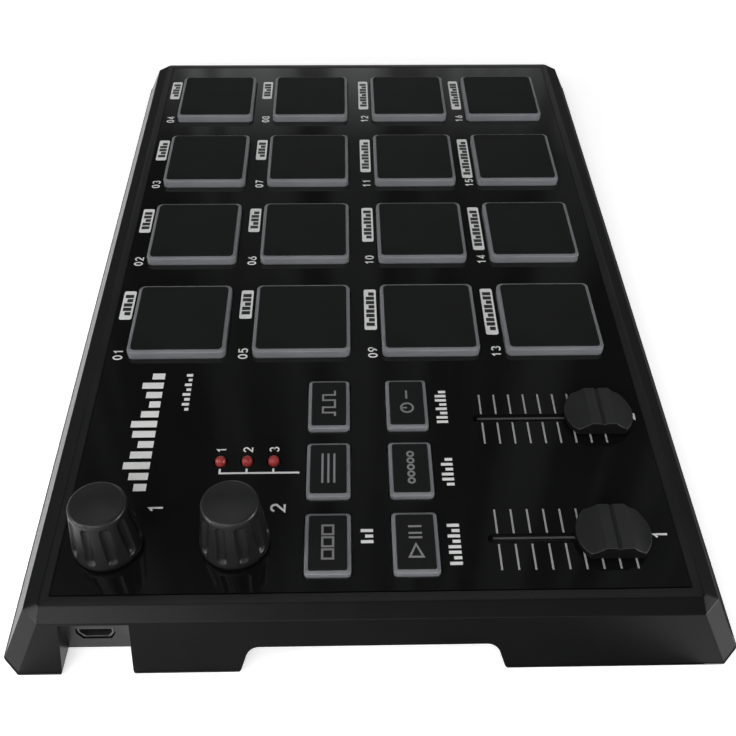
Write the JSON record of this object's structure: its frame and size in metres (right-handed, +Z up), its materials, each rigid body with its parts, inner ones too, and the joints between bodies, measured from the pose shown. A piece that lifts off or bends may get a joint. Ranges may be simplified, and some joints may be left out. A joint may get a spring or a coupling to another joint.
{
  "type": "midi pad controller",
  "caption": "Low desktop pad controller: bevelled black case, a grid of sprung silicone pads, push buttons, fluted knobs, slide faders, indicator lights and a USB port.",
  "frame": {"origin": "centre of the bounding box at the table, under the feet", "axes": "+X along the case from the control end to the pad end, +Y across it to the knob side, +Z up"},
  "size_m": [0.248, 0.16, 0.0293],
  "materials": {
    "case_plastic": "fine matte",
    "gloss_panel": "gloss",
    "cover_plastic": "matte",
    "key_silicone": "satin",
    "knob_plastic": "satin",
    "cap_plastic": "matte",
    "red_lens": "gloss",
    "circuit_board": "satin",
    "sensor_film": "satin",
    "dark_plastic": "matte",
    "pale_plastic": "satin",
    "steel": "brushed",
    "foot_rubber": "matte"
  },
  "bodies": {
    "case": {"top_housing": "case_plastic", "panel_overlay": "gloss_panel", "bottom_cover": "cover_plastic", "status_leds": "red_lens", "usb_socket": "steel", "rubber_feet": "foot_rubber", "case_screws": "steel", "control_board": "circuit_board", "pad_board": "circuit_board", "pad_sensor_sheet": "sensor_film", "button_switches": "dark_plastic", "potentiometers": "steel", "slide_potentiometers": "steel", "controller_chip": "dark_plastic", "cable_sockets": "pale_plastic", "flat_cable": "pale_plastic", "board_screws": "steel"},
    "pad_01_body": {"pad_01": "key_silicone"},
    "pad_02_body": {"pad_02": "key_silicone"},
    "pad_03_body": {"pad_03": "key_silicone"},
    "pad_04_body": {"pad_04": "key_silicone"},
    "pad_05_body": {"pad_05": "key_silicone"},
    "pad_06_body": {"pad_06": "key_silicone"},
    "pad_07_body": {"pad_07": "key_silicone"},
    "pad_08_body": {"pad_08": "key_silicone"},
    "pad_09_body": {"pad_09": "key_silicone"},
    "pad_10_body": {"pad_10": "key_silicone"},
    "pad_11_body": {"pad_11": "key_silicone"},
    "pad_12_body": {"pad_12": "key_silicone"},
    "pad_13_body": {"pad_13": "key_silicone"},
    "pad_14_body": {"pad_14": "key_silicone"},
    "pad_15_body": {"pad_15": "key_silicone"},
    "pad_16_body": {"pad_16": "key_silicone"},
    "button_1_body": {"button_1": "key_silicone"},
    "button_2_body": {"button_2": "key_silicone"},
    "button_3_body": {"button_3": "key_silicone"},
    "button_4_body": {"button_4": "key_silicone"},
    "button_5_body": {"button_5": "key_silicone"},
    "button_6_body": {"button_6": "key_silicone"},
    "knob_1_body": {"knob_1": "knob_plastic", "knob_shaft_1": "steel"},
    "knob_2_body": {"knob_2": "knob_plastic", "knob_shaft_2": "steel"},
    "fader_1_body": {"fader_cap_1": "cap_plastic", "fader_lever_1": "steel"},
    "fader_2_body": {"fader_cap_2": "cap_plastic", "fader_lever_2": "steel"}
  },
  "joints": [
    {"name": "pad_01_press", "type": "slide", "parent": "case", "child": "pad_01_body", "axis": [0, 0, -1], "range_m": [0, 0.0008], "stiffness_N_per_m": 3750},
    {"name": "pad_02_press", "type": "slide", "parent": "case", "child": "pad_02_body", "axis": [0, 0, -1], "range_m": [0, 0.0008], "stiffness_N_per_m": 3750},
    {"name": "pad_03_press", "type": "slide", "parent": "case", "child": "pad_03_body", "axis": [0, 0, -1], "range_m": [0, 0.0008], "stiffness_N_per_m": 3750},
    {"name": "pad_04_press", "type": "slide", "parent": "case", "child": "pad_04_body", "axis": [0, 0, -1], "range_m": [0, 0.0008], "stiffness_N_per_m": 3750},
    {"name": "pad_05_press", "type": "slide", "parent": "case", "child": "pad_05_body", "axis": [0, 0, -1], "range_m": [0, 0.0008], "stiffness_N_per_m": 3750},
    {"name": "pad_06_press", "type": "slide", "parent": "case", "child": "pad_06_body", "axis": [0, 0, -1], "range_m": [0, 0.0008], "stiffness_N_per_m": 3750},
    {"name": "pad_07_press", "type": "slide", "parent": "case", "child": "pad_07_body", "axis": [0, 0, -1], "range_m": [0, 0.0008], "stiffness_N_per_m": 3750},
    {"name": "pad_08_press", "type": "slide", "parent": "case", "child": "pad_08_body", "axis": [0, 0, -1], "range_m": [0, 0.0008], "stiffness_N_per_m": 3750},
    {"name": "pad_09_press", "type": "slide", "parent": "case", "child": "pad_09_body", "axis": [0, 0, -1], "range_m": [0, 0.0008], "stiffness_N_per_m": 3750},
    {"name": "pad_10_press", "type": "slide", "parent": "case", "child": "pad_10_body", "axis": [0, 0, -1], "range_m": [0, 0.0008], "stiffness_N_per_m": 3750},
    {"name": "pad_11_press", "type": "slide", "parent": "case", "child": "pad_11_body", "axis": [0, 0, -1], "range_m": [0, 0.0008], "stiffness_N_per_m": 3750},
    {"name": "pad_12_press", "type": "slide", "parent": "case", "child": "pad_12_body", "axis": [0, 0, -1], "range_m": [0, 0.0008], "stiffness_N_per_m": 3750},
    {"name": "pad_13_press", "type": "slide", "parent": "case", "child": "pad_13_body", "axis": [0, 0, -1], "range_m": [0, 0.0008], "stiffness_N_per_m": 3750},
    {"name": "pad_14_press", "type": "slide", "parent": "case", "child": "pad_14_body", "axis": [0, 0, -1], "range_m": [0, 0.0008], "stiffness_N_per_m": 3750},
    {"name": "pad_15_press", "type": "slide", "parent": "case", "child": "pad_15_body", "axis": [0, 0, -1], "range_m": [0, 0.0008], "stiffness_N_per_m": 3750},
    {"name": "pad_16_press", "type": "slide", "parent": "case", "child": "pad_16_body", "axis": [0, 0, -1], "range_m": [0, 0.0008], "stiffness_N_per_m": 3750},
    {"name": "button_1_press", "type": "slide", "parent": "case", "child": "button_1_body", "axis": [0, 0, -1], "range_m": [0, 0.0008], "stiffness_N_per_m": 2000},
    {"name": "button_2_press", "type": "slide", "parent": "case", "child": "button_2_body", "axis": [0, 0, -1], "range_m": [0, 0.0008], "stiffness_N_per_m": 2000},
    {"name": "button_3_press", "type": "slide", "parent": "case", "child": "button_3_body", "axis": [0, 0, -1], "range_m": [0, 0.0008], "stiffness_N_per_m": 2000},
    {"name": "button_4_press", "type": "slide", "parent": "case", "child": "button_4_body", "axis": [0, 0, -1], "range_m": [0, 0.0008], "stiffness_N_per_m": 2000},
    {"name": "button_5_press", "type": "slide", "parent": "case", "child": "button_5_body", "axis": [0, 0, -1], "range_m": [0, 0.0008], "stiffness_N_per_m": 2000},
    {"name": "button_6_press", "type": "slide", "parent": "case", "child": "button_6_body", "axis": [0, 0, -1], "range_m": [0, 0.0008], "stiffness_N_per_m": 2000},
    {"name": "knob_1_turn", "type": "hinge", "parent": "case", "child": "knob_1_body", "pos_m": [-0.0997, 0.05849, 0.0146], "axis": [0, 0, -1], "range_deg": [-150, 150]},
    {"name": "knob_2_turn", "type": "hinge", "parent": "case", "child": "knob_2_body", "pos_m": [-0.0997, 0.03038, 0.0146], "axis": [0, 0, -1], "range_deg": [-161, 139]},
    {"name": "fader_1_slide", "type": "slide", "parent": "case", "child": "fader_1_body", "axis": [0, 1, 0], "range_m": [-0.0043, 0.0257]},
    {"name": "fader_2_slide", "type": "slide", "parent": "case", "child": "fader_2_body", "axis": [0, 1, 0], "range_m": [-0.001, 0.029]}
  ]
}
